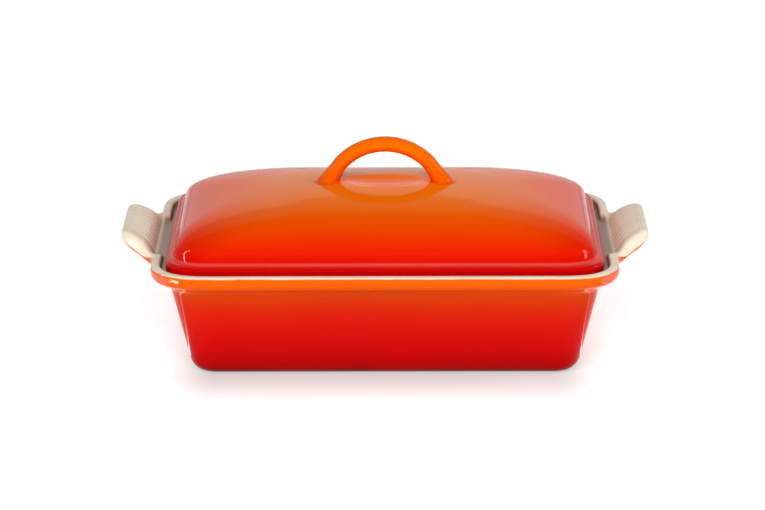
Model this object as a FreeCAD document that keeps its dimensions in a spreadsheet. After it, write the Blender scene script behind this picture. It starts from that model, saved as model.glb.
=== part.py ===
"""Covered rectangular casserole: a stoneware dish with two wing handles and a domed lid with a loop.

The frame has +Z up and +X along the dish, with the origin under the centre of the foot.
"""

import FreeCAD, Part
import Sketcher
import math
import os

os.makedirs("parts", exist_ok=True)
doc = FreeCAD.newDocument("covered_casserole")
vector = FreeCAD.Vector

# ------------------------------------------------------------------ driving sizes, millimetres and degrees
SIZES = {
    # the dish
    "rim_length": 336,
    "rim_width": 241,
    "rim_height": 81,
    "rim_corner": 36,
    "rim_wall": 7,
    "band_height": 8.6,
    "rim_overhang": 13.5,
    "neck_height": 66,
    "neck_corner": 26,
    "draft": 13.5,
    "foot_corner": 17,
    "foot_round": 12,
    "foot_ring": 7,
    "foot_recess": 1.5,
    "floor_thickness": 8,
    "floor_round": 13,
    "cavity_corner": 20,
    "ledge_depth": 5,
    "ledge_width": 12,
    "recess_corner": 31,
    "floor_corner": 15,
    "rim_round": 2.6,
    # the wing handles
    "wing_reach": 24,
    "wing_thickness": 9,
    "wing_rise": 12.5,
    "wing_roll": 27.5,
    "wing_roll_beyond": 1,
    "wing_tip_width": 88,
    "wing_root_width": 140,
    "wing_heel_depth": 6,
    "wing_bury": 1,
    "wing_hollow": 230,
    "wing_flank": 60,
    "wing_round": 1,
    "wing_corner": 13,
    "rib_count": 8,
    "rib_pitch": 8.6,
    "rib_depth": 0.8,
    "rib_start": 100,
    "rib_sweep": 48,
    "scoop_width": 92,
    "scoop_flare": 8,
    # the lid
    "seat_gap": 0.3,
    "flange_gap": 4,
    "flange_height": 8.9,
    "flange_shelf": 5.5,
    "flange_corner": 25,
    "dome_corner": 23,
    "flange_round": 2,
    "dome_height": 36,
    "dome_power": 2.8,
    "dome_sag": 0.14,
    "dome_side": 0.47,
    "dome_spread": 24,
    "shell": 7,
    "shell_corner": 5,
    "recess_length": 62,
    "recess_width": 34,
    "recess_depth": 2.5,
    "recess_bowl": 10,
    # the loop handle of the lid
    "loop_height": 32.3,
    "loop_radius": 44,
    "loop_lean": 48,
    "loop_bury": 3,
    "loop_tuck": 2,
    "loop_thickness": 11,
    "loop_width": 16,
}

sheet = doc.addObject("Spreadsheet::Sheet", "Sizes")
for row, (alias, value) in enumerate(SIZES.items(), start=1):
    sheet.set(f"A{row}", alias)
    sheet.set(f"B{row}", str(value))
    sheet.setAlias(f"B{row}", alias)
doc.recompute()


# ------------------------------------------------------------------ helpers
def size(alias):
    """A driving dimension as a plain number."""
    return float(sheet.get(alias))


def amount(expression):
    """What an expression on the sheet comes to, as a plain number."""
    value = sheet.evalExpression(expression.replace("Sizes.", ""))
    return float(getattr(value, "Value", value))


def plane_of(body, role):
    """One of a body's own origin planes."""
    return next(feature for feature in body.Origin.OriginFeatures if feature.Role == role)


def new_body(label):
    body = doc.addObject("PartDesign::Body", label)
    body.Label = label
    return body


def new_sketch(body, name, role="XY_Plane", level=None):
    """An empty sketch on one of the body's planes, lifted off it by an expression."""
    sketch = body.newObject("Sketcher::SketchObject", name)
    sketch.AttachmentSupport = [(plane_of(body, role), "")]
    sketch.MapMode = "FlatFace"
    if level is not None:
        sketch.setExpression(".AttachmentOffset.Base.z", level)
    return sketch


def bind(sketch, name, constraint, expression):
    """Adds a dimension to a sketch, names it and ties it to the sheet."""
    index = sketch.addConstraint(constraint)
    sketch.renameConstraint(index, name)
    sketch.setExpression(f"Constraints.{name}", expression)


def rounded_outline(body, name, level, length, width, corner):
    """A centred rectangle with round corners, at a height; every argument is an expression."""
    sketch = new_sketch(body, name, level=level)
    radius = amount(corner)
    inner_x = amount(length) / 2 - radius
    inner_y = amount(width) / 2 - radius
    up = vector(0, 0, 1)
    corners = (
        (inner_x, -inner_y, -90),
        (inner_x, inner_y, 0),
        (-inner_x, inner_y, 90),
        (-inner_x, -inner_y, 180),
    )

    def on_arc(index, degrees):
        x, y, _ = corners[index % 4]
        angle = math.radians(degrees)
        return vector(x + radius * math.cos(angle), y + radius * math.sin(angle), 0)

    for index, (x, y, start) in enumerate(corners):
        previous_end = on_arc(index - 1, corners[index - 1][2] + 90)
        sketch.addGeometry(Part.LineSegment(previous_end, on_arc(index, start)), False)
        circle = Part.Circle(vector(x, y, 0), up, radius)
        arc = Part.ArcOfCircle(circle, math.radians(start), math.radians(start + 90))
        sketch.addGeometry(arc, False)
    for geometry in range(8):
        sketch.addConstraint(Sketcher.Constraint("Tangent", geometry, 2, (geometry + 1) % 8, 1))
    for geometry in (1, 3, 5):
        sketch.addConstraint(Sketcher.Constraint("Equal", geometry, geometry + 2))
    sketch.addConstraint(Sketcher.Constraint("Symmetric", 0, 1, 0, 2, -2))
    sketch.addConstraint(Sketcher.Constraint("Symmetric", 2, 1, 2, 2, -1))
    sketch.addConstraint(Sketcher.Constraint("Horizontal", 4))
    sketch.addConstraint(Sketcher.Constraint("Vertical", 6))
    bind(sketch, "length", Sketcher.Constraint("DistanceX", 6, 1, 2, 1, amount(length)), length)
    bind(sketch, "width", Sketcher.Constraint("DistanceY", 0, 1, 4, 1, amount(width)), width)
    bind(sketch, "corner", Sketcher.Constraint("Radius", 1, radius), corner)
    return sketch


def loft(body, kind, name, sketches, ruled):
    """A solid or a cut through outlines at several heights."""
    feature = body.newObject(f"PartDesign::{kind}", name)
    feature.Profile = sketches[0]
    feature.Sections = sketches[1:]
    feature.Ruled = ruled
    doc.recompute()
    return feature


def pad(body, name, sketch, length):
    feature = body.newObject("PartDesign::Pad", name)
    feature.Profile = sketch
    feature.setExpression("Length", length)
    doc.recompute()
    return feature


def pocket(body, name, sketch, length):
    """Cuts upwards from a sketch."""
    feature = body.newObject("PartDesign::Pocket", name)
    feature.Profile = sketch
    feature.setExpression("Length", length)
    feature.Reversed = True
    doc.recompute()
    return feature


def edges_at(shape, level, length, width, slack=0.05):
    """The names of the edges of a level outline with these outer sizes."""
    names = []
    for index, edge in enumerate(shape.Edges, start=1):
        box = edge.BoundBox
        flat = abs(box.ZMax - level) < slack and abs(box.ZMin - level) < slack
        reaches = max(abs(box.XMax), abs(box.XMin)) > length / 2 - slack
        reaches = reaches or max(abs(box.YMax), abs(box.YMin)) > width / 2 - slack
        inside = max(abs(box.XMax), abs(box.XMin)) < length / 2 + slack
        inside = inside and max(abs(box.YMax), abs(box.YMin)) < width / 2 + slack
        if flat and reaches and inside:
            names.append(f"Edge{index}")
    return names


def fillet(body, name, base, edges, radius):
    feature = body.newObject("PartDesign::Fillet", name)
    feature.Base = (base, edges)
    feature.setExpression("Radius", radius)
    doc.recompute()
    return feature


# ------------------------------------------------------------------ the dish
BAND_FOOT = "Sizes.rim_height - Sizes.band_height"
NECK_LENGTH = "Sizes.rim_length - 2 * Sizes.rim_overhang"
NECK_WIDTH = "Sizes.rim_width - 2 * Sizes.rim_overhang"
LEAN = "Sizes.neck_height * tan(Sizes.draft * 1 deg)"
FOOT_LENGTH = f"{NECK_LENGTH} - 2 * {LEAN}"
FOOT_WIDTH = f"{NECK_WIDTH} - 2 * {LEAN}"
LEDGE_LEVEL = "Sizes.rim_height - Sizes.ledge_depth"
RECESS_LENGTH = "Sizes.rim_length - 2 * Sizes.rim_wall"
RECESS_WIDTH = "Sizes.rim_width - 2 * Sizes.rim_wall"
CAVITY_LENGTH = f"{RECESS_LENGTH} - 2 * Sizes.ledge_width"
CAVITY_WIDTH = f"{RECESS_WIDTH} - 2 * Sizes.ledge_width"
CAVITY_LEAN = f"({LEDGE_LEVEL} - Sizes.floor_thickness) * tan(Sizes.draft * 1 deg)"


def make_dish():
    """The bowl: leaning walls, an overhanging rim, a ledge for the lid and a foot ring."""
    body = new_body("dish")
    foot = rounded_outline(body, "foot_outline", "0", FOOT_LENGTH, FOOT_WIDTH, "Sizes.foot_corner")
    neck = rounded_outline(
        body, "neck_outline", "Sizes.neck_height", NECK_LENGTH, NECK_WIDTH, "Sizes.neck_corner"
    )
    loft(body, "AdditiveLoft", "wall", [foot, neck], True)
    under_rim = rounded_outline(
        body, "under_rim_outline", "Sizes.neck_height", NECK_LENGTH, NECK_WIDTH, "Sizes.neck_corner"
    )
    band = rounded_outline(
        body, "band_outline", BAND_FOOT, "Sizes.rim_length", "Sizes.rim_width", "Sizes.rim_corner"
    )
    loft(body, "AdditiveLoft", "under_rim", [under_rim, band], True)
    rim = rounded_outline(
        body, "rim_outline", BAND_FOOT, "Sizes.rim_length", "Sizes.rim_width", "Sizes.rim_corner"
    )
    solid = pad(body, "rim_band", rim, "Sizes.band_height")

    foot_edges = edges_at(solid.Shape, 0, amount(FOOT_LENGTH), amount(FOOT_WIDTH))
    solid = fillet(body, "foot_rounding", solid, foot_edges, "Sizes.foot_round")

    recess = rounded_outline(
        body, "recess_outline", LEDGE_LEVEL, RECESS_LENGTH, RECESS_WIDTH, "Sizes.recess_corner"
    )
    pocket(body, "lid_recess", recess, "Sizes.ledge_depth")
    mouth = rounded_outline(
        body, "mouth_outline", LEDGE_LEVEL, CAVITY_LENGTH, CAVITY_WIDTH, "Sizes.cavity_corner"
    )
    floor = rounded_outline(
        body,
        "floor_outline",
        "Sizes.floor_thickness",
        f"{CAVITY_LENGTH} - 2 * {CAVITY_LEAN}",
        f"{CAVITY_WIDTH} - 2 * {CAVITY_LEAN}",
        "Sizes.floor_corner",
    )
    solid = loft(body, "SubtractiveLoft", "cavity", [mouth, floor], True)
    floor_length = amount(f"{CAVITY_LENGTH} - 2 * {CAVITY_LEAN}")
    floor_width = amount(f"{CAVITY_WIDTH} - 2 * {CAVITY_LEAN}")
    floor_edges = edges_at(solid.Shape, size("floor_thickness"), floor_length, floor_width)
    solid = fillet(body, "floor_rounding", solid, floor_edges, "Sizes.floor_round")

    outer = edges_at(solid.Shape, size("rim_height"), size("rim_length"), size("rim_width"))
    inner = edges_at(solid.Shape, size("rim_height"), amount(RECESS_LENGTH), amount(RECESS_WIDTH))
    solid = fillet(body, "rim_rounding", solid, outer + inner, "Sizes.rim_round")

    foot_ring = rounded_outline(
        body,
        "foot_recess_outline",
        "0",
        f"{FOOT_LENGTH} - 2 * (Sizes.foot_round + Sizes.foot_ring)",
        f"{FOOT_WIDTH} - 2 * (Sizes.foot_round + Sizes.foot_ring)",
        "Sizes.foot_corner",
    )
    pocket(body, "foot_recess", foot_ring, "Sizes.foot_recess")
    return body


# ------------------------------------------------------------------ the wing handles
WING_ROOT = "Sizes.rim_length / 2"
WING_TIP = "Sizes.rim_length / 2 + Sizes.wing_reach"
WING_TOP = "Sizes.rim_height + Sizes.wing_rise"
WING_HEEL = "Sizes.rim_length / 2 - Sizes.rim_overhang - Sizes.wing_bury"
ROLL_CENTRE_X = f"{WING_TIP} + Sizes.wing_roll_beyond"
ROLL_CENTRE_Z = f"{WING_TOP} - Sizes.wing_roll"
ROLL_RUN = "(Sizes.wing_reach + Sizes.wing_roll_beyond)"
SCOOP_LEVEL = f"{ROLL_CENTRE_Z} + sqrt(Sizes.wing_roll ^ 2 - {ROLL_RUN} ^ 2)"
HEEL_TOP = "Sizes.neck_height + Sizes.wing_heel_depth / 2"
HEEL_FOOT = "Sizes.neck_height - Sizes.wing_heel_depth / 2"
SCOOP_TOP = "Sizes.rim_height + 1"
SCOOP_TOP_HALF = "Sizes.scoop_width / 2 + Sizes.scoop_flare"


def close_outline(sketch, count):
    """Joins each edge's end to the next edge's start."""
    for index in range(count):
        sketch.addConstraint(Sketcher.Constraint("Coincident", index, 2, (index + 1) % count, 1))


def join_ends(sketch, pairs):
    """Joins edge ends given as (edge, end, edge, end), where end 1 is an edge's start and 2 its finish."""
    for pair in pairs:
        sketch.addConstraint(Sketcher.Constraint("Coincident", *pair))


def counter_arc(start, end, radius):
    """An arc that runs counter-clockwise between two points, less than half a turn."""
    chord = end - start
    reach = math.sqrt(radius**2 - chord.Length**2 / 4)
    centre = start + chord / 2 + vector(-chord.y, chord.x) * (reach / chord.Length)
    begin = math.atan2(start.y - centre.y, start.x - centre.x)
    finish = math.atan2(end.y - centre.y, end.x - centre.x)
    return Part.ArcOfCircle(Part.Circle(centre, vector(0, 0, 1), radius), begin, finish)


def bind_point(sketch, name, geometry, point, x=None, y=None):
    """Ties a point's place, measured from the sketch's origin, to the sheet."""
    for axis, place in (("X", x), ("Y", y)):
        if place is not None:
            constraint = Sketcher.Constraint(f"Distance{axis}", -1, 1, geometry, point, amount(place))
            bind(sketch, f"{name}_{axis.lower()}", constraint, place)


def cut_scoops(body):
    """Lowers the rim at both ends, so that each wing's rolled top runs into the ledge."""
    sketch = new_sketch(body, "scoop_outline", "YZ_Plane")
    floor = amount(SCOOP_LEVEL)
    top = amount(SCOOP_TOP)
    half = size("scoop_width") / 2
    spread = amount(SCOOP_TOP_HALF)
    corners = [vector(-half, floor), vector(half, floor), vector(spread, top), vector(-spread, top)]
    for index, corner in enumerate(corners):
        sketch.addGeometry(Part.LineSegment(corner, corners[(index + 1) % 4]), False)
    close_outline(sketch, 4)
    for edge in (0, 2):
        sketch.addConstraint(Sketcher.Constraint("Symmetric", edge, 1, edge, 2, -2))
    bind_point(sketch, "floor_corner", 0, 2, "Sizes.scoop_width / 2", SCOOP_LEVEL)
    bind_point(sketch, "top_corner", 1, 2, SCOOP_TOP_HALF, SCOOP_TOP)
    feature = body.newObject("PartDesign::Pocket", "scoops")
    feature.Profile = sketch
    feature.Type = "ThroughAll"
    feature.Midplane = True
    doc.recompute()
    return feature


def roll_level(x):
    """The height of a wing's rolled top at a place along X."""
    run = amount(ROLL_CENTRE_X) - x
    return amount(ROLL_CENTRE_Z) + math.sqrt(size("wing_roll") ** 2 - run**2)


def wing_side_outline():
    """The side view of a wing: a convex rolled top, a blunt tip and a slightly hollow underside."""
    sketch = doc.addObject("Sketcher::SketchObject", "wing_side")
    sketch.Placement = FreeCAD.Placement(vector(0, 0, 0), FreeCAD.Rotation(vector(1, 0, 0), 90))
    inner = amount(WING_ROOT) - size("wing_bury")
    tip = amount(WING_TIP)
    foot = vector(amount(WING_HEEL), amount(HEEL_FOOT))
    heel = vector(amount(WING_HEEL), amount(HEEL_TOP))
    tip_under = vector(tip, amount(WING_TOP) - size("wing_thickness"))
    tip_top = vector(tip, roll_level(tip))
    inner_top = vector(inner, roll_level(inner))
    sketch.addGeometry(counter_arc(tip_top, inner_top, size("wing_roll")), False)
    sketch.addGeometry(Part.LineSegment(inner_top, heel), False)
    sketch.addGeometry(Part.LineSegment(heel, foot), False)
    sketch.addGeometry(counter_arc(tip_under, foot, size("wing_hollow")), False)
    sketch.addGeometry(Part.LineSegment(tip_under, tip_top), False)
    join_ends(sketch, ((0, 2, 1, 1), (1, 2, 2, 1), (2, 2, 3, 2), (3, 1, 4, 1), (4, 2, 0, 1)))
    for edge in (2, 4):
        sketch.addConstraint(Sketcher.Constraint("Vertical", edge))
    bind(sketch, "roll", Sketcher.Constraint("Radius", 0, size("wing_roll")), "Sizes.wing_roll")
    bind(sketch, "hollow", Sketcher.Constraint("Radius", 3, size("wing_hollow")), "Sizes.wing_hollow")
    bind_point(sketch, "roll_centre", 0, 3, ROLL_CENTRE_X, ROLL_CENTRE_Z)
    bind_point(sketch, "inner_top", 1, 1, f"{WING_ROOT} - Sizes.wing_bury")
    bind_point(sketch, "heel", 2, 1, WING_HEEL, HEEL_TOP)
    bind_point(sketch, "foot", 2, 2, y=HEEL_FOOT)
    bind_point(sketch, "tip", 4, 1, WING_TIP, f"{WING_TOP} - Sizes.wing_thickness")
    return sketch


def wing_plan_outline():
    """The wing from above: hollow flanks that run from its wide root under the rim to its narrow tip."""
    sketch = doc.addObject("Sketcher::SketchObject", "wing_plan")
    flank = size("wing_flank")
    root_near = vector(amount(WING_HEEL), -size("wing_root_width") / 2)
    tip_near = vector(amount(WING_TIP), -size("wing_tip_width") / 2)
    root_far = vector(root_near.x, -root_near.y)
    tip_far = vector(tip_near.x, -tip_near.y)
    sketch.addGeometry(counter_arc(tip_near, root_near, flank), False)
    sketch.addGeometry(Part.LineSegment(tip_near, tip_far), False)
    sketch.addGeometry(counter_arc(root_far, tip_far, flank), False)
    sketch.addGeometry(Part.LineSegment(root_far, root_near), False)
    join_ends(sketch, ((0, 1, 1, 1), (1, 2, 2, 2), (2, 1, 3, 1), (3, 2, 0, 2)))
    for edge in (1, 3):
        sketch.addConstraint(Sketcher.Constraint("Symmetric", edge, 1, edge, 2, -1))
    for arc, name in ((0, "near_flank"), (2, "far_flank")):
        bind(sketch, name, Sketcher.Constraint("Radius", arc, flank), "Sizes.wing_flank")
    bind_point(sketch, "root", 3, 1, WING_HEEL, "Sizes.wing_root_width / 2")
    bind_point(sketch, "tip", 1, 2, WING_TIP, "Sizes.wing_tip_width / 2")
    return sketch


def extrude(name, sketch, length, symmetric):
    feature = doc.addObject("Part::Extrusion", name)
    feature.Base = sketch
    feature.DirMode = "Normal"
    feature.setExpression("LengthFwd", length)
    feature.Solid = True
    feature.Symmetric = symmetric
    return feature


def boolean(kind, name, base, tool):
    feature = doc.addObject(f"Part::{kind}", name)
    feature.Base = base
    feature.Tool = tool
    doc.recompute()
    return feature


def round_edges(name, base, radius, wanted):
    """Rounds the edges of a solid whose bounding box passes a test."""
    feature = doc.addObject("Part::Fillet", name)
    feature.Base = base
    feature.Edges = [
        (index, radius, radius)
        for index, edge in enumerate(base.Shape.Edges, start=1)
        if wanted(edge.BoundBox)
    ]
    doc.recompute()
    return feature


def upright(box):
    """True for an edge that stands straight up."""
    return box.XLength < 0.1 and box.YLength < 0.1


def make_ribbing():
    """Thin rings about the roll's own axis, which cut the hollows between the ribs."""
    count = int(size("rib_count"))
    rings = []
    for index in range(count):
        ring = doc.addObject("Part::Torus", f"rib_hollow_{index + 1}")
        ring.setExpression("Radius1", "Sizes.wing_roll")
        ring.setExpression("Radius2", "Sizes.rib_depth")
        ring.setExpression("Angle3", "Sizes.rib_sweep")
        # the ring starts at the tip's side of the roll and runs down towards the rim
        turn = FreeCAD.Rotation(vector(0, 1, 0), -size("rib_start")) * FreeCAD.Rotation(vector(1, 0, 0), 90)
        ring.Placement = FreeCAD.Placement(vector(0, 0, 0), turn)
        ring.setExpression(".Placement.Base.x", ROLL_CENTRE_X)
        ring.setExpression(".Placement.Base.y", f"({index} - (Sizes.rib_count - 1) / 2) * Sizes.rib_pitch")
        ring.setExpression(".Placement.Base.z", ROLL_CENTRE_Z)
        rings.append(ring)
    feature = doc.addObject("Part::Compound", "rib_hollows")
    feature.Links = rings
    doc.recompute()
    return feature


def make_wings(dish):
    """The two ribbed handles, which meet the rim face to face."""
    side = extrude("wing_side_slab", wing_side_outline(), "Sizes.wing_root_width + 10", True)
    plan = extrude("wing_plan_slab", wing_plan_outline(), "Sizes.rim_height * 2", False)
    blank = boolean("Common", "wing_blank", side, plan)
    root = amount(WING_ROOT)
    tip = amount(WING_TIP)

    def at_tip(box):
        return upright(box) and box.XMin > tip - 0.1

    def outside(box):
        return box.XMax > root + 1 and not upright(box)

    cornered = round_edges("wing_corners", blank, size("wing_corner"), at_tip)
    rounded = round_edges("wing_rounding", cornered, size("wing_round"), outside)
    ribbed = boolean("Cut", "wing_ribbed", rounded, make_ribbing())
    right = boolean("Cut", "right_handle", ribbed, dish)
    left = doc.addObject("Part::Mirroring", "left_handle")
    left.Source = right
    left.Normal = (1, 0, 0)
    doc.recompute()
    return left, right


# ------------------------------------------------------------------ the lid
SEAT_LEVEL = f"{LEDGE_LEVEL} + Sizes.seat_gap"
FLANGE_TOP = f"{SEAT_LEVEL} + Sizes.flange_height"
FLANGE_LENGTH = f"{RECESS_LENGTH} - 2 * Sizes.flange_gap"
FLANGE_WIDTH = f"{RECESS_WIDTH} - 2 * Sizes.flange_gap"
CROWN_LEVEL = f"{FLANGE_TOP} + Sizes.dome_height"

DOME_LENGTH = f"({FLANGE_LENGTH} - 2 * Sizes.flange_shelf)"
DOME_WIDTH = f"({FLANGE_WIDTH} - 2 * Sizes.flange_shelf)"

# the lengths of the dome's outlines, from foot to crown, as shares of its full length
DOME_STATIONS = (1, 0.985, 0.95, 0.88, 0.78, 0.64, 0.45, 0.22)
# the largest corner of an outline, as a share of its shorter side
FULLEST_CORNER = 0.42


def dome_outlines(body, name, inset):
    """The dome's outlines, moved in and down by the shell's thickness times inset.

    Seen from the front the dome is a superellipse over a shallow sag.
    Seen from the end it is nearly an ellipse.
    """
    outlines = []
    for index, share in enumerate(DOME_STATIONS):
        arch = f"(1 - {share} ^ Sizes.dome_power) ^ (1 / Sizes.dome_power)"
        rise = f"((1 - Sizes.dome_sag * {share} ^ 2) * {arch})"
        length = f"({share} * {DOME_LENGTH})"
        width = f"({DOME_WIDTH} * (1 - {rise} ^ 2) ^ Sizes.dome_side)"
        most = f"{FULLEST_CORNER} * min({width}; {length})"
        corner = f"min(Sizes.dome_corner + Sizes.dome_spread * {rise}; {most})"
        outlines.append(
            rounded_outline(
                body,
                f"{name}_{index + 1}",
                f"{FLANGE_TOP} + {rise} * (Sizes.dome_height - {inset} * Sizes.shell)",
                f"{length} - 2 * {inset} * Sizes.shell",
                f"{width} - 2 * {inset} * Sizes.shell",
                f"{corner} - {inset} * Sizes.shell_corner",
            )
        )
    return outlines


def make_lid():
    """A hollow dome over a flat flange that sits on the dish's ledge."""
    body = new_body("lid")
    rim = rounded_outline(
        body, "flange_outline", SEAT_LEVEL, FLANGE_LENGTH, FLANGE_WIDTH, "Sizes.flange_corner"
    )
    flange = pad(body, "flange", rim, "Sizes.flange_height")
    edges = edges_at(flange.Shape, amount(FLANGE_TOP), amount(FLANGE_LENGTH), amount(FLANGE_WIDTH))
    edges += edges_at(flange.Shape, amount(SEAT_LEVEL), amount(FLANGE_LENGTH), amount(FLANGE_WIDTH))
    fillet(body, "flange_rounding", flange, edges, "Sizes.flange_round")
    loft(body, "AdditiveLoft", "dome", dome_outlines(body, "dome_outline", 0), False)
    loft(body, "SubtractiveLoft", "hollow", dome_outlines(body, "hollow_outline", 1), False)
    opening = rounded_outline(
        body,
        "opening_outline",
        SEAT_LEVEL,
        f"{FLANGE_LENGTH} - 2 * (Sizes.flange_shelf + Sizes.shell)",
        f"{FLANGE_WIDTH} - 2 * (Sizes.flange_shelf + Sizes.shell)",
        "Sizes.dome_corner - Sizes.shell_corner",
    )
    pocket(body, "opening", opening, "Sizes.flange_height")
    recess = body.newObject("PartDesign::SubtractiveEllipsoid", "finger_recess")
    reach = "(1 / sqrt(1 - (1 - Sizes.recess_depth / Sizes.recess_bowl) ^ 2))"
    recess.setExpression("Radius1", "Sizes.recess_bowl")
    recess.setExpression("Radius2", f"Sizes.recess_length / 2 * {reach}")
    recess.setExpression("Radius3", f"Sizes.recess_width / 2 * {reach}")
    recess.setExpression(
        ".AttachmentOffset.Base.z", f"{CROWN_LEVEL} + Sizes.recess_bowl - Sizes.recess_depth"
    )
    recess.AttachmentSupport = [(plane_of(body, "XY_Plane"), "")]
    recess.MapMode = "FlatFace"
    doc.recompute()
    return body


# ------------------------------------------------------------------ the loop handle
# the sections of each foot: how far down the leg, the turn of the section,
# and its swelling in depth and width
LOOP_FOOT = ((1, 90, 1.45, 1.45), (0.62, 66, 1.15, 1.16), (0.3, 52, 1.03, 1.04))
LOOP_STEPS = 8


def loop_stations():
    """Place, turn, half depth and half width of the loop's sections, from one foot to the other."""
    radius = size("loop_radius")
    lean = math.radians(size("loop_lean"))
    depth = size("loop_thickness") / 2
    width = size("loop_width") / 2
    centre = vector(0, 0, amount(CROWN_LEVEL) + size("loop_height") - depth - radius)
    shoulder = centre + vector(math.sin(lean), 0, math.cos(lean)) * radius
    drop = shoulder.z - amount(CROWN_LEVEL) + size("loop_bury")
    foot = vector(shoulder.x + drop / math.tan(lean) - size("loop_tuck"), 0, shoulder.z - drop)
    leg = []
    for share, turn, deeper, wider in LOOP_FOOT:
        place = shoulder + (foot - shoulder) * share
        leg.append((place, math.radians(turn), depth * deeper, width * wider))
    stations = [(vector(-place.x, 0, place.z), -turn, deep, wide) for place, turn, deep, wide in leg]
    for step in range(LOOP_STEPS + 1):
        turn = lean * (2 * step / LOOP_STEPS - 1)
        stations.append((centre + vector(math.sin(turn), 0, math.cos(turn)) * radius, turn, depth, width))
    return stations + leg[::-1]


def make_loop(lid):
    """An oval bar bent into a low arch, whose feet swell and meet the dome face to face."""
    wires = []
    for place, turn, deep, wide in loop_stations():
        outward = vector(math.sin(turn), 0, math.cos(turn))
        along = vector(math.cos(turn), 0, -math.sin(turn))
        section = Part.Ellipse(vector(0, 0, 0), wide, deep).toShape()
        # the long axis lies across the dish and the short one points away from the arch's centre
        turned = FreeCAD.Rotation(vector(0, 1, 0), outward, along, "ZXY")
        section.Placement = FreeCAD.Placement(place, turned)
        wires.append(Part.Wire([section]))
    blank = doc.addObject("Part::Feature", "loop_blank")
    blank.Shape = Part.makeLoft(wires, True, False)
    doc.recompute()
    return boolean("Cut", "lid_handle", blank, lid)


# ------------------------------------------------------------------ build, check and write
def check(parts):
    """Stops with a message if any object failed or any part isn't one sound solid."""
    for item in doc.Objects:
        failed = [word for word in item.State if word in ("Invalid", "Error")]
        if failed:
            raise SystemExit(f"{item.Name} failed: {failed}")
    for part in parts:
        shape = part.Shape
        if shape.isNull() or not shape.isValid() or len(shape.Solids) != 1:
            raise SystemExit(f"{part.Label} isn't one valid solid")
        box = shape.optimalBoundingBox(False)
        print(f"{part.Label}: {shape.Volume / 1000:.1f} cm3, z {box.ZMin:.2f} to {box.ZMax:.2f}")


def main():
    dish = make_dish()
    cut_scoops(dish)
    left, right = make_wings(dish)
    lid = make_lid()
    loop = make_loop(lid)
    parts = (dish, left, right, lid, loop)
    for part in parts:
        part.Label = part.Name
    doc.recompute()
    check(parts)
    for part in parts:
        part.Shape.exportStep(f"parts/{part.Label}.step")


main()
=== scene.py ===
"""Looks of the covered casserole: a glazed dish with two ribbed wings, and a domed lid with a loop handle.

Lengths in the shape code are in millimetres in the CAD frame, and become metres when a mesh is made.
"""

import math

import bpy
import numpy as np
from mathutils import Matrix, Vector


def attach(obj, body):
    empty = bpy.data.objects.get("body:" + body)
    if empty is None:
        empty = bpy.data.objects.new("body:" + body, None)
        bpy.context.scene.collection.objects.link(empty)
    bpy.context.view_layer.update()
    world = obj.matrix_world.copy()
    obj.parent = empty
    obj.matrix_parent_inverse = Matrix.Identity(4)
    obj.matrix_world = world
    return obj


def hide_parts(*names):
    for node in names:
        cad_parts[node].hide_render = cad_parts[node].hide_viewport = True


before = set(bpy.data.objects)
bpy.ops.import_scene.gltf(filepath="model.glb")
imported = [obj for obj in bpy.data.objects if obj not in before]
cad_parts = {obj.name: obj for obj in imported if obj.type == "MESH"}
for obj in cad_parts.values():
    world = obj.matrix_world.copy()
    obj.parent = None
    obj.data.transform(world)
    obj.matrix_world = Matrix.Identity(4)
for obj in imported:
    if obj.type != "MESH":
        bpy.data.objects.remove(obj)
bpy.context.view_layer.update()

MM = 0.001
LEAN = math.radians(13.5)
DRAFT = math.tan(LEAN)
LEANING = math.cos(LEAN)
WALL_TURN = 90 - math.degrees(LEAN)

# ------------------------------------------------------------------ sizes from the CAD, millimetres
RIM = (168.0, 120.5, 36.0)
NECK = (154.5, 107.0, 26.0)
FOOT = (138.66, 91.16, 17.0)
RECESS = (161.0, 113.5, 31.0)
MOUTH = (149.0, 101.5, 20.0)
RIM_TOP, BAND_FOOT, NECK_TOP, LEDGE, FLOOR = 81.0, 72.4, 66.0, 76.0, 8.0
RIM_WALL = RIM[0] - RECESS[0]
OVERHANG = RIM[0] - NECK[0]

WING_TIP_X = 192.0
WING_TIP_HALF = 31.0
WING_TIP_FLAT = 27.0
WING_CORNER = 13.0
WING_FLANK = 24.0
ROLL_X, ROLL_Z, ROLL_R = 193.0, 66.0, 27.5
HOLLOW_FOOT, HOLLOW_TIP, HOLLOW_R = (153.5, 63.0), (192.0, 84.5), 230.0

FLANGE = (157.0, 109.5, 25.0)
FLANGE_LOW, FLANGE_TOP = 76.3, 85.2
DOME = (151.5, 104.0)
DOME_RISE = 36.0
CROWN = FLANGE_TOP + DOME_RISE
SHELL = 7.0

# the finger recess is the bottom of a shallow oval bowl, whose half lengths are at its brim
BOWL_LENGTH, BOWL_WIDTH, BOWL_DEEP = 46.9, 25.7, 10.0
RECESS_DEPTH = 2.5

LOOP_R, LOOP_Z, LOOP_LEAN = 44.0, 104.0, 48.0
LOOP_HALF_THICK, LOOP_HALF_WIDE = 5.5, 8.0
LOOP_TOP = LOOP_Z + LOOP_R + LOOP_HALF_THICK
LOOP_FOOT_X, LOOP_FOOT_Z = 41.6, 121.5
LOOP_STUB_Z = 117.8
LOOP_SKIRT = 4.6

# where, along Y, the wings' undersides and their scooped tops give way to the rim
WING_FADE = (47.0, 64.0)
SCOOP_FADE = (41.5, 60.0)

# how softly the rolled tops run into the rim's top and into the ledge
MARGIN_BLEND, SCOOP_BLEND = 1.5, 1.2

# corners bend gradually into the sides, as on a cast piece, so reflections don't kink
CORNER_POWER = 2.4
CORNER_REACH = 1.17


# ------------------------------------------------------------------ small maths
def smooth(value, low, high):
    t = np.clip((np.asarray(value, float) - low) / (high - low), 0, 1)
    return t * t * (3 - 2 * t)


def soft_max(a, b, blend):
    return (a + b + np.sqrt((a - b) ** 2 + blend**2)) / 2


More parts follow.
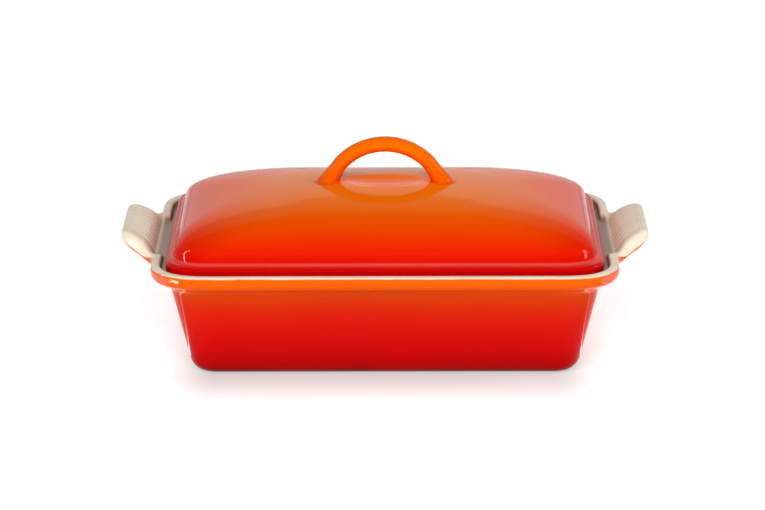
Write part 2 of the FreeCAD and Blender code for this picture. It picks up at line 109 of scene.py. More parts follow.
def soft_min(a, b, blend):
    return (a + b - np.sqrt((a - b) ** 2 + blend**2)) / 2


def mix(a, b, share):
    return a + (b - a) * share


def conic(start, corner, end, turn, count):
    """Points of a round fillet between two legs that meet at a corner; turn is in degrees."""
    weight = math.cos(math.radians(turn) / 2)
    rows = []
    for t in np.linspace(0, 1, count):
        a, b, c = (1 - t) ** 2, 2 * weight * t * (1 - t), t * t
        rows.append((a * start + b * corner + c * end) / (a + b + c))
    return rows


# ------------------------------------------------------------------ columns round a rounded rectangle
def make_columns(side_shares, end_count, corner_count):
    """One row (share x, share y, corner x, corner y) for each column, anticlockwise from the right side."""
    angles = np.linspace(0, math.pi / 2, corner_count + 1)[1:-1]
    bend = [(math.cos(a) ** (2 / CORNER_POWER), math.sin(a) ** (2 / CORNER_POWER)) for a in angles]
    ends = np.linspace(1, -1, end_count + 1)
    columns = [(1, v, 1, 0) for v in side_shares]
    columns += [(1, 1, x, y) for x, y in bend]
    columns += [(v, 1, 0, 1) for v in ends]
    columns += [(-1, 1, -x, y) for x, y in bend[::-1]]
    columns += [(-1, v, -1, 0) for v in side_shares[::-1]]
    columns += [(-1, -1, -x, -y) for x, y in bend]
    columns += [(v, -1, 0, -1) for v in ends[::-1]]
    columns += [(1, -1, x, -y) for x, y in bend[::-1]]
    return np.array(columns, float)


def ring(columns, half_x, half_y, corner, level):
    """A closed loop of points, one for each column."""
    reach = min(corner * CORNER_REACH, half_x * 0.999, half_y * 0.999)
    x = columns[:, 0] * (half_x - reach) + columns[:, 2] * reach
    y = columns[:, 1] * (half_y - reach) + columns[:, 3] * reach
    return np.stack([x, y, np.broadcast_to(level, x.shape)], 1)


def make_mesh(name, rows, attributes=None):
    """A closed skin through rows of points, with a flat cap on the first and the last row."""
    count = len(rows[0])
    points = np.concatenate(rows) * MM
    faces = []
    for r in range(len(rows) - 1):
        low, high = r * count, (r + 1) * count
        for c in range(count):
            d = (c + 1) % count
            faces.append((low + c, low + d, high + d, high + c))
    faces.append(tuple(range(count))[::-1])
    faces.append(tuple(range((len(rows) - 1) * count, len(rows) * count)))
    mesh = bpy.data.meshes.new(name)
    mesh.from_pydata(points.tolist(), [], faces)
    for key, values in (attributes or {}).items():
        layer = mesh.attributes.new(key, "FLOAT", "POINT")
        layer.data.foreach_set("value", np.asarray(values, np.float32))
    mesh.polygons.foreach_set("use_smooth", [True] * len(mesh.polygons))
    mesh.update()
    piece = bpy.data.objects.new(name, mesh)
    bpy.context.scene.collection.objects.link(piece)
    return piece


# ------------------------------------------------------------------ the dish and its wings
def wing_outline():
    """Half of the outline from above, from the middle of the wing's tip to the rim's straight side."""
    swing = math.acos((WING_FLANK - (WING_TIP_X - WING_CORNER - RIM[0])) / (WING_FLANK + WING_CORNER))
    centre = np.array([WING_TIP_X - WING_CORNER, WING_TIP_HALF])
    tip = [np.array([WING_TIP_X, y]) for y in np.linspace(0, WING_TIP_HALF, 60)[:-1]]
    corner = [
        centre + WING_CORNER * np.array([math.cos(a), math.sin(a)]) for a in np.linspace(0, swing, 60)[:-1]
    ]
    root = np.array([RIM[0] + WING_FLANK, WING_TIP_HALF + (WING_CORNER + WING_FLANK) * math.sin(swing)])
    flank = [
        root - WING_FLANK * np.array([math.cos(a), math.sin(a)]) for a in np.linspace(swing, 0, 90)[:-1]
    ]
    straight = RIM[1] - RIM[2] * CORNER_REACH
    side = [np.array([RIM[0], y]) for y in np.linspace(root[1], straight, 40)]
    points = np.array(tip + corner + flank + side)
    lengths = np.concatenate([[0], np.cumsum(np.linalg.norm(np.diff(points, axis=0), axis=1))])
    joints = np.cumsum([0, len(tip), len(corner), len(flank)])
    stops = np.insert(lengths[[*joints, len(points) - 1]], 1, WING_TIP_FLAT)
    return points, lengths, stops


OUTLINE, OUTLINE_LENGTH, OUTLINE_STOPS = wing_outline()
RECESS_STRAIGHT = RECESS[1] - RECESS[2] * CORNER_REACH
# how far along Y columns leave the lid recess for each of the outline's stops: the tip's middle, near the
# tip's end, the tip's corner, the flank, the rim's side and the rim's corner
LEAVE = np.array([0, 36.5, 40.5, 46.0, 63.0, RECESS_STRAIGHT])


def outline_point(inner_y):
    """The outline point for columns that leave the recess at these heights along Y."""
    spread = np.linspace(-2.5, 2.5, 11)
    samples = np.abs(inner_y)[:, None] + spread
    over = samples > RECESS_STRAIGHT
    samples = np.where(over, 2 * RECESS_STRAIGHT - samples, samples)
    shifted = np.interp(np.abs(samples), LEAVE, OUTLINE_STOPS)
    shifted = np.where(over, 2 * OUTLINE_STOPS[-1] - shifted, shifted) * np.where(samples < 0, -1, 1)
    along = np.clip(shifted.mean(axis=1), 0, OUTLINE_STOPS[-1])
    x = np.interp(along, OUTLINE_LENGTH, OUTLINE[:, 0])
    y = np.interp(along, OUTLINE_LENGTH, OUTLINE[:, 1]) * np.sign(inner_y)
    return np.stack([x, y], 1)


def outline_distance(points):
    """How far points are from the outline."""
    mirrored = np.stack([points[:, 0], np.abs(points[:, 1])], 1)
    gaps = mirrored[:, None, :] - OUTLINE[None, :, :]
    return np.sqrt((gaps**2).sum(2).min(1))


def reach_lines(outer, inner):
    """For each line from the outline inwards, its distance from the outline at even shares of its run."""
    shares = np.linspace(0, 1, 161)
    tables = []
    for start, end in zip(outer, inner):
        line = start + (end - start) * shares[:, None]
        tables.append(np.maximum.accumulate(outline_distance(line)))
    return shares, np.array(tables)


def at_distance(outer, inner, table, distance):
    """The points of the lines that are this far inside the outline."""
    shares, gaps = table
    found = np.array([np.interp(distance, gap, shares) for gap in gaps])
    return outer + (inner - outer) * found[:, None]


def roll_top(x):
    """The rolled top of a wing."""
    run = np.minimum((ROLL_X - x) ** 2, ROLL_R**2)
    return ROLL_Z + np.sqrt(ROLL_R**2 - run)


def wing_under(x):
    """The slightly hollow underside of a wing."""
    low, high = np.array(HOLLOW_FOOT), np.array(HOLLOW_TIP)
    chord = high - low
    length = np.linalg.norm(chord)
    centre = (low + high) / 2
    centre = centre + np.array([-chord[1], chord[0]]) / length * math.sqrt(HOLLOW_R**2 - length**2 / 4)
    return centre[1] - np.sqrt(HOLLOW_R**2 - (x - centre[0]) ** 2)


# the ribs' spacing at the lid recess, how fast they close up towards the tip, and the depth between them
RIB_PITCH = 10.4
RIB_FAN = 0.00987
RIB_DEPTH = 0.9
RIBBED_PITCHES = 4.25
RIB_START, RIB_END = (165.5, 169), (183.6, 187.2)


def rib_hollow(x, y):
    """How deep the hollows between the ribs are: they fan out from the tip to the root."""
    across = y / (1 - RIB_FAN * (x - RECESS[0]))
    crest = np.abs(np.cos(math.pi * across / RIB_PITCH))
    hollow = (1 - crest**1.15) ** 1.3
    ribbed = smooth(RIBBED_PITCHES * RIB_PITCH - np.abs(across), 0, 2.5)
    along = smooth(x, *RIB_START) * (1 - smooth(x, *RIB_END))
    return RIB_DEPTH * hollow * ribbed * along


def make_dish():
    """The dish with its wings as one skin, from the middle of the base round to the middle of the floor."""
    straight = RECESS_STRAIGHT
    ribs = np.arange(-28, 29) * RIB_PITCH / 8
    shoulders = np.linspace(ribs[-1], 62, 42)[1:]
    rest = np.linspace(62, straight, 7)[1:]
    side_y = np.concatenate([-rest[::-1], -shoulders[::-1], ribs, shoulders, rest])
    columns = make_columns(side_y / straight, 18, 16)
    total = len(columns)
    side = np.abs(columns[:, 0] * columns[:, 2]) * (columns[:, 3] == 0) > 0.5
    sign = columns[side, 0]
    leave_y = columns[side, 1] * straight

    def both(size, level):
        return ring(columns, *size, level)

    def grown(size, by, corner=None):
        return (size[0] + by, size[1] + by, size[2] + by if corner is None else corner)

    # plan of the outline and the lines that run in from it, above and below
    outer = both(RIM, 0.0)[:, :2]
    outline = outline_point(leave_y)
    outer[side] = outline * np.stack([sign, np.ones(len(sign))], 1)
    recess = both(RECESS, 0.0)[:, :2]
    neck = both(NECK, 0.0)[:, :2]
    flip = np.stack([sign, np.ones(len(sign))], 1)
    upper_table = reach_lines(outer[side] * flip, recess[side] * flip)
    lower_table = reach_lines(outer[side] * flip, neck[side] * flip)

    def inset_upper(distance):
        plan = mix(outer, recess, distance / RIM_WALL)
        plan[side] = at_distance(outer[side] * flip, recess[side] * flip, upper_table, distance) * flip
        return plan

    def inset_lower(distance):
        plan = mix(outer, neck, distance / OVERHANG)
        plan[side] = at_distance(outer[side] * flip, neck[side] * flip, lower_table, distance) * flip
        return plan

    # how much of a wing each column is, below and above
    wing = np.zeros(total)
    wing[side] = 1 - smooth(np.abs(leave_y), *WING_FADE)
    scoop = np.zeros(total)
    scoop[side] = 1 - smooth(np.abs(leave_y), *SCOOP_FADE)

    def under(plan):
        out = np.interp(wall_reach(plan), [0, OVERHANG], [NECK_TOP, BAND_FOOT])
        return mix(out, wing_under(np.abs(plan[:, 0])), wing)

    def wall_reach(plan):
        """How far out from the neck a point below the rim is."""
        share = np.linalg.norm(plan - neck, axis=1) / np.maximum(np.linalg.norm(outer - neck, axis=1), 1e-6)
        return share * OVERHANG

    def rolled(plan):
        return np.where(side, roll_top(np.minimum(np.abs(plan[:, 0]), ROLL_X)), 0)

    def margin(plan):
        """The rim's top, which swells into the wings' front margins."""
        return soft_max(RIM_TOP, rolled(plan), MARGIN_BLEND) - 0.02

    def scooped_top(plan):
        """The wings' rolled tops, which run down to the ledge."""
        return soft_max(LEDGE, rolled(plan), SCOOP_BLEND)

    def top(plan):
        return mix(margin(plan), scooped_top(plan), scoop)

    def lift(plan, level):
        return np.concatenate([plan, np.broadcast_to(level, total)[:, None]], 1)

    rows, cream = [], []

    def add(points, glaze):
        """Adds rows; glaze is 0 if coloured, 1 if cream, -1 if bare clay, or a number per column."""
        for row in points:
            rows.append(row)
            cream.append(np.broadcast_to(np.asarray(glaze, float), total))

    # the foot ring and its recess, unglazed
    foot_recess = 1.5
    add([both((FOOT[0] - 24, FOOT[1] - 24, 15), foot_recess)], -1)
    for inset, level in ((19.8, foot_recess), (19.2, 1.35), (18.9, 0.9), (18.6, 0.35), (18.0, 0.0)):
        add([both((FOOT[0] - inset, FOOT[1] - inset, 16), level)], -1)
    add([both((FOOT[0] - 14, FOOT[1] - 14, 12), 0.0)], -1)

    # the rounding above the foot and the leaning wall
    def wall(z):
        share = z / NECK_TOP
        return both((FOOT[0] + z * DRAFT, FOOT[1] + z * DRAFT, mix(FOOT[2], NECK[2], share)), z)

    foot_round = 9.46
    wall_start = foot_round * LEANING
    add(conic(both(grown(FOOT, -foot_round), 0.0), both(FOOT, 0.0), wall(wall_start), WALL_TURN, 11), 0)
    fillet_low = NECK_TOP - 4.6
    add([wall(z) for z in np.linspace(wall_start, fillet_low, 7)[1:-1]], 0)

    # the concave turn under the rim and the wings
    turn_reach = 4.4
    neck_level = mix(NECK_TOP, wing_under(NECK[0]), wing)
    turned = inset_lower(OVERHANG - turn_reach)
    side_run = np.maximum(np.abs(outer[side][:, 0]) - NECK[0], 1)[:, None]
    turned[side] = mix(neck[side], outer[side], turn_reach / side_run)
    add(conic(wall(fillet_low), lift(neck, neck_level), lift(turned, under(turned)), 50, 9), 0)

    # the underside, out to the lower rounding
    thickness = top(outer) - under(outer)
    low_r = np.minimum(3.4, thickness * 0.42)
    high_r = mix(2.6, 5.0, smooth(np.abs(outer[:, 0]), 169, 176) * side)
    high_r = np.minimum(mix(high_r, 3.9, smooth(np.abs(outer[:, 0]), 188, 191.5) * side), thickness * 0.5)

    def graded(inset, radii):
        """Plan points at a different distance for each column, between those for whole distances."""
        levels = np.linspace(0, 6, 25)
        plans = np.array([inset(level) for level in levels])
        place = np.clip(radii / 6 * 24, 0, 23.999)
        base = place.astype(int)
        part = (place - base)[:, None]
        index = np.arange(total)
        return plans[base, index] * (1 - part) + plans[base + 1, index] * part

    low_start = graded(inset_lower, low_r)
    for share in np.linspace(0, 1, 9)[1:-1]:
        plan = mix(turned, low_start, share)
        add([lift(plan, under(plan))], 0)

    # the cream glaze ends high on the rim's edge but near the lower edge of the wings
    glaze_end = mix(RIM_TOP - 1.15, under(outer) + 2.1, wing)

    def glaze_at(level):
        return np.clip((level - glaze_end) / 4 + 0.5, 0, 1)

    for angle in np.radians(np.linspace(0, 90, 8)):
        plan = graded(inset_lower, low_r * (1 - math.sin(angle)))
        level = under(plan) + low_r * (1 - math.cos(angle))
        add([lift(plan, level)], glaze_at(level))
    side_low = under(outer) + low_r
    side_high = top(outer) - high_r
    for share in (0.25, 0.5, 0.75):
        level = mix(side_low, side_high, share)
        add([lift(outer, level)], glaze_at(level))
    for angle in np.radians(np.linspace(0, 90, 11)):
        plan = graded(inset_upper, high_r * (1 - math.cos(angle)))
        level = top(plan) - high_r * (1 - math.sin(angle))
        add([lift(plan, level)], glaze_at(level))

    # the top: a flat rim with an inner wall, which at the wings gives way to the roll down to the ledge
    start = graded(inset_upper, high_r)
    inner_round = 2.2
    inner_edge = mix(recess, outer, inner_round / RIM_WALL)
    inner_edge[side] = recess[side] + np.stack([inner_round * sign, np.zeros(len(sign))], 1)
    flat = [mix(start, inner_edge, share) for share in np.linspace(0, 1, 23)]
    rim_path = [lift(plan, margin(plan)) for plan in flat]
    ledge_start = both(grown(RECESS, -1.6), LEDGE)
    inner_top, inner_low = lift(inner_edge, RIM_TOP), lift(recess, RIM_TOP - inner_round)
    rim_path += conic(inner_top, lift(recess, RIM_TOP), inner_low, 90, 7)[1:]
    low_wall = both(grown(RECESS, -0.3), LEDGE + 1.3)
    rim_path += [low_wall]
    rim_path += conic(low_wall, both(grown(RECESS, -0.4), LEDGE), ledge_start, 86, 6)[1:]
    steps = len(rim_path)

    run = np.linspace(0, 1, steps)
    for index in range(1, steps):
        plan = start + (ledge_start[:, :2] - start) * run[index]
        x = np.abs(plan[:, 0])
        level = np.maximum(scooped_top(plan) - 0.3 * smooth(-x, -166, -161), LEDGE)
        depth = np.where(side, rib_hollow(x, plan[:, 1]), 0)
        out_x = (x - ROLL_X) / ROLL_R
        out_z = (level - ROLL_Z) / ROLL_R
        plan = plan - np.stack([np.sign(plan[:, 0]) * out_x * depth, np.zeros(total)], 1)
        scooped = lift(plan, level - out_z * depth)
        add([mix(rim_path[index], scooped, scoop[:, None])], 1)

    # the ledge, the cavity and its floor
    shelf = RECESS[0] - MOUTH[0]
    for inset in (4.5, 8.0):
        add([both(grown(RECESS, -inset, mix(RECESS[2], MOUTH[2], inset / shelf)), LEDGE)], 1)
    mouth_round = 2.4
    mouth_in, mouth_low = mouth_round * math.sin(LEAN), LEDGE - mouth_round * LEANING
    mouth_top, mouth_wall = both(grown(MOUTH, mouth_round), LEDGE), both(grown(MOUTH, -mouth_in), mouth_low)
    add(conic(mouth_top, both(MOUTH, LEDGE), mouth_wall, WALL_TURN, 7), 1)
    floor_outline = grown(MOUTH, -(LEDGE - FLOOR) * DRAFT, 15)
    floor_round = 10.25

    def cavity(z):
        by = -(LEDGE - z) * DRAFT
        return both((MOUTH[0] + by, MOUTH[1] + by, mix(15, MOUTH[2], (z - FLOOR) / (LEDGE - FLOOR))), z)

    fillet_top = FLOOR + floor_round * LEANING
    add([cavity(z) for z in np.linspace(mouth_low, fillet_top, 6)[1:-1]], 1)
    floor_start = both(grown(floor_outline, -floor_round, 7), FLOOR)
    add(conic(cavity(fillet_top), both(floor_outline, FLOOR), floor_start, WALL_TURN, 12), 1)
    add([both(grown(floor_outline, -25, 8), FLOOR)], 1)

    glaze = np.concatenate(cream)
    points = np.concatenate(rows)
    # painted shade: the cream is browned low in the recess at its ends, standing in for the lid's shade and
    # its red reflection there
    off_x = np.abs(np.abs(points[:, 0]) - RECESS[0] + 1.0)
    low = smooth(-points[:, 2], -RIM_TOP + 0.5, -LEDGE - 1.5) * smooth(points[:, 2], LEDGE - 3, LEDGE - 0.5)
    painted_shade_and_highlight = 0.75 * low * smooth(-off_x, -7.5, -4.0)
    return make_mesh(
        "dish_with_wings",
        rows,
        {"cream": np.clip(glaze, 0, 1), "bare": np.clip(-glaze, 0, 1), "painted_shade_and_highlight": painted_shade_and_highlight},
    )


# ------------------------------------------------------------------ the lid
def dome_rise(share):
    return (1 - 0.14 * share**2) * (1 - share**2.8) ** (1 / 2.8)


def dome_size(share, shell):
    """Half length, half width, corner and level of the dome's outline at a share of its length."""
    rise = dome_rise(share)
    half_x = DOME[0] * share - shell
    half_y = DOME[1] * (1 - rise**2) ** 0.47 - shell
    corner = min(23 + 24 * rise, 0.84 * (half_y + shell), 0.84 * (half_x + shell)) - 0.7 * shell
    return half_x, half_y, corner, FLANGE_TOP + rise * (DOME_RISE - shell)


def dome_level(x, y):
    """The height of the dome's outside above plan points."""
    shares = np.concatenate([[0.004], np.linspace(0.01, 0.99, 99)])
    x, y = np.abs(np.asarray(x, float)), np.abs(np.asarray(y, float))
    gauges, levels = [], []
    for share in shares:
        half_x, half_y, corner, level = dome_size(share, 0)
        reach = min(corner * CORNER_REACH, half_x * 0.999, half_y * 0.999)
        out_x, out_y = x - (half_x - reach), y - (half_y - reach)
        round_gap = (np.maximum(out_x, 0) ** CORNER_POWER + np.maximum(out_y, 0) ** CORNER_POWER) ** (
            1 / CORNER_POWER
        ) - reach
        gauges.append(np.where((out_x > 0) & (out_y > 0), round_gap, np.maximum(out_x, out_y) - reach))
        levels.append(level)
    gauges, levels = np.array(gauges), np.array(levels)
    inside = (gauges > 0).sum(axis=0)
    high = np.clip(inside, 1, len(shares) - 1)
    index = np.arange(x.size)
    before, after = gauges[high - 1, index], gauges[high, index]
    part = np.clip(before / np.where(np.abs(before - after) < 1e-9, 1, before - after), 0, 1)
    return levels[high - 1] + (levels[high] - levels[high - 1]) * part


def finger_recess(points):
    """Sinks the shallow oval under the loop into the crown."""
    x, y, z = points.T
    oval = np.clip(1 - (x / BOWL_LENGTH) ** 2 - (y / BOWL_WIDTH) ** 2, 0, 1)
    bowl = CROWN - RECESS_DEPTH + BOWL_DEEP * (1 - np.sqrt(oval))
    sunk = soft_min(z, bowl, 0.5)
    near = smooth(oval, 0.2, 0.42)
    return np.stack([x, y, mix(z, sunk, near)], 1)


def make_lid():
    """The hollow dome and its flange as one skin, from the inside of the crown round to its outside."""
    columns = make_columns(np.linspace(-1, 1, 33), 44, 22)

    def outline(half_x, half_y, corner, level):
        return ring(columns, half_x, half_y, corner, level)

    rows, cream = [], []

    def add(points, glaze):
        for row in points:
            rows.append(row)
            cream.append(np.full(len(columns), float(glaze)))

    foot_corner = dome_size(0.995, SHELL)[2]
    inside = np.concatenate([np.linspace(0.06, 0.9, 22), np.linspace(0.92, 0.99, 6)])
    add([outline(*dome_size(share, SHELL)) for share in inside], 1)
    inner = (DOME[0] - SHELL, DOME[1] - SHELL)
    add([outline(*inner, foot_corner, FLANGE_TOP - down) for down in (0.2, 3.2, 5.7)], 1)

    # the bare seat under the flange, its rounded edge, and the cove up to the dome
    seat_round, low_round, top_round = 1.7, 2.2, 2.6
    flange_x, flange_y, flange_corner = FLANGE
    inner_wall = outline(*inner, foot_corner, FLANGE_LOW + seat_round)
    inner_foot = outline(*inner, foot_corner, FLANGE_LOW)
    seat = outline(inner[0] + seat_round, inner[1] + seat_round, foot_corner + 1, FLANGE_LOW)
    add(conic(inner_wall, inner_foot, seat, 90, 5), -1)

    low_edge = (flange_x - low_round, flange_y - low_round, flange_corner - low_round)
    side_low, side_foot = outline(*FLANGE, FLANGE_LOW + low_round), outline(*FLANGE, FLANGE_LOW)
    add(conic(outline(*low_edge, FLANGE_LOW), side_foot, side_low, 90, 7), 0)
    add([outline(*FLANGE, FLANGE_LOW + up) for up in (3.7, 5.2)], 0)

    top_edge = (flange_x - top_round, flange_y - top_round, flange_corner - 2.4)
    side_high, side_top = outline(*FLANGE, FLANGE_TOP - top_round), outline(*FLANGE, FLANGE_TOP)
    add(conic(side_high, side_top, outline(*top_edge, FLANGE_TOP), 90, 9), 0)

    cove_share = 0.9915
    cove_start = outline(DOME[0] + 2.4, DOME[1] + 2.4, 25.0, FLANGE_TOP)
    cove_corner = outline(DOME[0] - 0.3, DOME[1] - 0.3, 23.3, FLANGE_TOP + 0.1)
    add(conic(cove_start, cove_corner, outline(*dome_size(cove_share, 0)), 80, 9), 0)
    outside = np.concatenate([
        np.linspace(cove_share, 0.93, 12)[1:],
        np.linspace(0.93, 0.6, 20)[1:],
        np.linspace(0.6, 0.36, 12)[1:],
        np.linspace(0.36, 0.012, 34)[1:],
    ])
    add([finger_recess(outline(*dome_size(share, 0))) for share in outside], 0)
    glaze = np.concatenate(cream)
    # painted highlight: a pale line in the coloured glaze low in the cove
    off_cove = np.abs(np.concatenate(rows)[:, 2] - FLANGE_TOP - 0.9)
    painted_shade_and_highlight = 0.4 * smooth(-off_cove, -1.6, -0.3) * (glaze == 0)
    return make_mesh(
        "lid_dome",
        rows,
        {"cream": np.clip(glaze, 0, 1), "bare": np.clip(-glaze, 0, 1), "painted_shade_and_highlight": painted_shade_and_highlight},
    )


# ------------------------------------------------------------------ the loop handle
def make_loop():
    """An oval bar bent into an arch, whose feet swell and run out on to the dome."""
    around = np.linspace(0, 2 * math.pi, 57)[:-1]
    lean = math.radians(LOOP_LEAN)

    def section(x, z, turn, deep, wide):
        out = np.array([math.sin(turn), 0, math.cos(turn)])
        centre = np.array([x, 0, z])
        side = np.array([0, 1.0, 0])
        return centre + np.outer(np.cos(around) * deep, out) + np.outer(np.sin(around) * wide, side)

    half = []
    for turn in np.linspace(0, lean, 19):
        x, z = LOOP_R * math.sin(turn), LOOP_Z + LOOP_R * math.cos(turn)
        half.append(section(x, z, turn, LOOP_HALF_THICK, LOOP_HALF_WIDE))
    shoulder_x, shoulder_z = LOOP_R * math.sin(lean), LOOP_Z + LOOP_R * math.cos(lean)
    for share in np.linspace(0, 1, 12)[1:]:
        x = mix(shoulder_x, LOOP_FOOT_X, share) - 0.36 * math.sin(math.pi * share)
        z = mix(shoulder_z, LOOP_FOOT_Z, share)
        turn = mix(lean, math.radians(84), share**1.6)
        grow = share**2.2
        deep, wide = LOOP_HALF_THICK * (1 + 0.45 * grow), LOOP_HALF_WIDE * (1 + 0.3 * grow)
        half.append(section(x, z, turn, deep, wide))

    # the skirt runs out from the leg's foot and sinks just under the dome
    last = half[-1]
    flat = last[:, :2] - np.array([LOOP_FOOT_X, 0])
    radial = flat / np.linalg.norm(flat, axis=1)[:, None]
    for angle in np.radians([18, 36, 54, 70, 84, 96]):
        spread = LOOP_SKIRT * (1 - math.cos(angle))
        plan = last[:, :2] + radial * spread
        ground = dome_level(plan[:, 0], plan[:, 1])
        height = np.maximum(last[:, 2] - ground, 0.6) * (1 - math.sin(min(angle, math.pi / 2)))
        sink = 0.25 * smooth(math.degrees(angle), 60, 96)
        half.append(np.concatenate([plan, (ground + height - sink)[:, None]], 1))
    # the hidden stub ends inside the shell
    stub = np.concatenate([last[:, :2], np.full((len(last), 1), LOOP_STUB_Z)], 1)
    half.append(mix(stub, np.array([LOOP_FOOT_X, 0, LOOP_STUB_Z]), 0.1))
    mirrored = [row * np.array([-1, 1, 1]) for row in half[:0:-1]]
    return make_mesh("lid_loop", mirrored + half)


# ------------------------------------------------------------------ materials
def new_material(name):
    material = bpy.data.materials.new(name)
    material.use_nodes = True
    nodes, links = material.node_tree.nodes, material.node_tree.links
    shader = nodes["Principled BSDF"]
    return material, nodes, links, shader


def colour(red, green, blue):
    """A screen colour, 0 to 255, as linear light."""
    def line(value):
        value /= 255
        return value / 12.92 if value <= 0.04045 else ((value + 0.055) / 1.055) ** 2.4
    return (line(red), line(green), line(blue), 1)


def ramp_node(nodes, stops, interpolation="EASE"):
    node = nodes.new("ShaderNodeValToRGB")
    node.color_ramp.interpolation = interpolation
    while len(node.color_ramp.elements) < len(stops):
        node.color_ramp.elements.new(0.5)
    for element, (place, value) in zip(node.color_ramp.elements, stops):
        element.position = place
        element.color = value
    return node


def maths(nodes, links, operation, first, second, clamp=False):
    node = nodes.new("ShaderNodeMath")
    node.operation = operation
    node.use_clamp = clamp
    for socket, value in zip(node.inputs, (first, second)):
        if isinstance(value, (int, float)):
            socket.default_value = value
        else:
            links.new(value, socket)
    return node.outputs[0]


def map_range(nodes, links, value, low, high, to_low, to_high):
    node = nodes.new("ShaderNodeMapRange")
    links.new(value, node.inputs["Value"])
    for key, number in (("From Min", low), ("From Max", high), ("To Min", to_low), ("To Max", to_high)):
        node.inputs[key].default_value = number
    return node.outputs["Result"]


def noise(nodes, links, place, scale, detail=2.0, roughness=0.5):
    node = nodes.new("ShaderNodeTexNoise")
    node.inputs["Scale"].default_value = scale
    node.inputs["Detail"].default_value = detail
    node.inputs["Roughness"].default_value = roughness
    links.new(place, node.inputs["Vector"])
    return node.outputs["Fac"]


def blend(nodes, links, share, first, second):
    node = nodes.new("ShaderNodeMix")
    node.data_type = "RGBA"
    links.new(share, node.inputs["Factor"])
    for socket, value in ((node.inputs[6], first), (node.inputs[7], second)):
        if isinstance(value, tuple):
            socket.default_value = value
        else:
            links.new(value, socket)
    return node.outputs[2]


def glaze_material(name, stops, low, high, layered):
    """Glossy glaze whose colour runs with height.

    A layered one also has cream glaze, bare clay, and painted shade and highlights, where the mesh's
    attributes say so.
    """
    material, nodes, links, shader = new_material(name)
    place = nodes.new("ShaderNodeTexCoord").outputs["Object"]
    split = nodes.new("ShaderNodeSeparateXYZ")
    links.new(place, split.inputs[0])
    drift = maths(nodes, links, "SUBTRACT", noise(nodes, links, place, 9.0), 0.5)
    speck = noise(nodes, links, place, 900.0, 3.0, 0.6)
    height = map_range(nodes, links, split.outputs["Z"], low, high, 0, 1)
    height = maths(nodes, links, "ADD", height, maths(nodes, links, "MULTIPLY", drift, 0.10))
    fine = maths(nodes, links, "MULTIPLY", maths(nodes, links, "SUBTRACT", speck, 0.5), 0.05)
    height = maths(nodes, links, "ADD", height, fine, clamp=True)
    run = ramp_node(nodes, stops, "B_SPLINE")
    links.new(height, run.inputs[0])
    tone = run.outputs[0]
    rough = map_range(nodes, links, noise(nodes, links, place, 60.0), 0.3, 0.7, 0.07, 0.12)
    wave = noise(nodes, links, place, 28.0, 1.0)
    peel = noise(nodes, links, place, 260.0, 1.0)
    relief = maths(nodes, links, "ADD", wave, maths(nodes, links, "MULTIPLY", peel, 0.05))
    if layered:
        inner, bare, painted_shade_and_highlight = (nodes.new("ShaderNodeAttribute") for _ in range(3))
        inner.attribute_name, bare.attribute_name, painted_shade_and_highlight.attribute_name = "cream", "bare", "painted_shade_and_highlight"
        uneven = maths(nodes, links, "SUBTRACT", noise(nodes, links, place, 70.0), 0.5)
        wobble = maths(nodes, links, "MULTIPLY", uneven, 0.22)
        inner_wavy = maths(nodes, links, "ADD", inner.outputs["Fac"], wobble)
        edge = map_range(nodes, links, inner_wavy, 0.40, 0.60, 0, 1)
        cream_tone = ramp_node(nodes, [(0.35, colour(240, 226, 202)), (0.65, colour(244, 233, 212))])
        links.new(noise(nodes, links, place, 30.0, 4.0), cream_tone.inputs[0])
        fleck = ramp_node(nodes, [(0.70, (1, 1, 1, 1)), (0.78, (0.82, 0.74, 0.62, 1))])
        links.new(noise(nodes, links, place, 1400.0, 1.0), fleck.inputs[0])
        tint = nodes.new("ShaderNodeMix")
        tint.data_type, tint.blend_type = "RGBA", "MULTIPLY"
        tint.inputs["Factor"].default_value = 0.5
        links.new(cream_tone.outputs[0], tint.inputs[6])
        links.new(fleck.outputs[0], tint.inputs[7])
        # the two blends below paint light: the cream goes brown where shade is painted, and the coloured
        # glaze goes pale where a highlight is painted
        cream = blend(nodes, links, painted_shade_and_highlight.outputs["Fac"], tint.outputs[2], colour(126, 84, 68))
        tone = blend(nodes, links, painted_shade_and_highlight.outputs["Fac"], tone, colour(255, 128, 112))
        tone = blend(nodes, links, edge, tone, cream)
        rough = maths(nodes, links, "ADD", rough, maths(nodes, links, "MULTIPLY", edge, 0.12))
        bare_wavy = maths(nodes, links, "ADD", bare.outputs["Fac"], wobble)
        clay = map_range(nodes, links, bare_wavy, 0.45, 0.55, 0, 1)
        clay_tone = ramp_node(nodes, [(0.3, colour(196, 178, 150)), (0.7, colour(214, 198, 172))])
        links.new(noise(nodes, links, place, 400.0, 5.0, 0.7), clay_tone.inputs[0])
        tone = blend(nodes, links, clay, tone, clay_tone.outputs[0])
        rough = maths(nodes, links, "ADD", rough, maths(nodes, links, "MULTIPLY", clay, 0.6), clamp=True)
    links.new(tone, shader.inputs["Base Color"])
    links.new(rough, shader.inputs["Roughness"])
    shader.inputs["IOR"].default_value = 1.5
    shader.inputs["Specular IOR Level"].default_value = 0.1
    bump = nodes.new("ShaderNodeBump")
    bump.inputs["Strength"].default_value = 0.1
    bump.inputs["Distance"].default_value = 0.0003
    links.new(relief, bump.inputs["Height"])
    links.new(bump.outputs[0], shader.inputs["Normal"])
    return material


